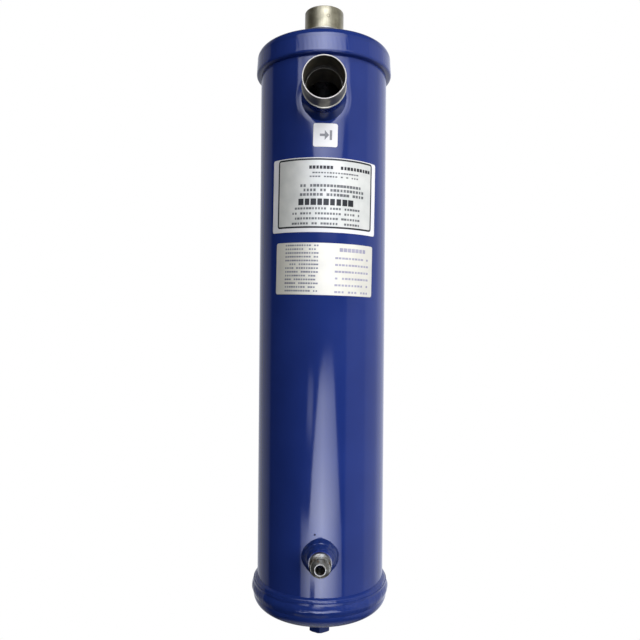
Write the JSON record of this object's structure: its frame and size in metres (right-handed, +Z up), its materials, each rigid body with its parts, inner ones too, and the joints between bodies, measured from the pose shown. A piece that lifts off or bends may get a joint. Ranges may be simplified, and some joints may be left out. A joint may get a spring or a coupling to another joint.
{
  "type": "refrigeration oil separator",
  "caption": "Upright steel oil separator: a capped blue tube with a front inlet, a top outlet, a flare oil return, and inside a helix, screens and a float valve.",
  "frame": {"origin": "centre of the mounting boss's end face, at the mouth of its tapped hole", "axes": "+Z up the vessel; the inlet and the oil return face -Y; +X to the right as seen from the front"},
  "size_m": [0.1102, 0.1419, 0.502],
  "materials": {
    "blue_paint": "gloss",
    "bare_steel": "bare, turned",
    "plated_steel": "zinc plated",
    "inner_steel": "bare sheet",
    "brass": "machined",
    "white_label": "printed film",
    "silver_label": "metallic film",
    "magnet": "matte"
  },
  "bodies": {
    "vessel": {"shell": "blue_paint", "top_cap": "blue_paint", "bottom_cap": "blue_paint", "top_weld": "blue_paint", "bottom_weld": "blue_paint", "inlet_stub": "bare_steel", "inlet_weld": "blue_paint", "outlet_stub": "bare_steel", "outlet_weld": "blue_paint", "oil_return_fitting": "plated_steel", "oil_return_weld": "blue_paint", "mounting_boss": "blue_paint", "mounting_boss_weld": "blue_paint", "inlet_label": "white_label", "rating_label": "silver_label", "notice_label": "white_label", "centre_tube": "inner_steel", "helix_flight": "inner_steel", "wall_screen": "inner_steel", "outlet_screen": "inner_steel", "baffle": "inner_steel", "valve_body": "brass", "valve_seat": "plated_steel", "pivot_pin": "plated_steel", "pivot_clip": "plated_steel", "magnet": "magnet"},
    "float": {"float_arm": "brass", "float_ball": "inner_steel"},
    "needle": {"needle": "plated_steel"}
  },
  "joints": [
    {"name": "float_pivot", "type": "hinge", "parent": "vessel", "child": "float", "pos_m": [0, -0.017, 0.08648], "axis": [1, 0, 0], "range_deg": [0, 22]},
    {"name": "needle_slide", "type": "slide", "parent": "vessel", "child": "needle", "axis": [0, 1, 0], "range_m": [0, 0.003]}
  ],
  "couplings": [
    {"joint": "needle_slide", "follows": "float_pivot", "m_per_rad": 0.0076097}
  ]
}
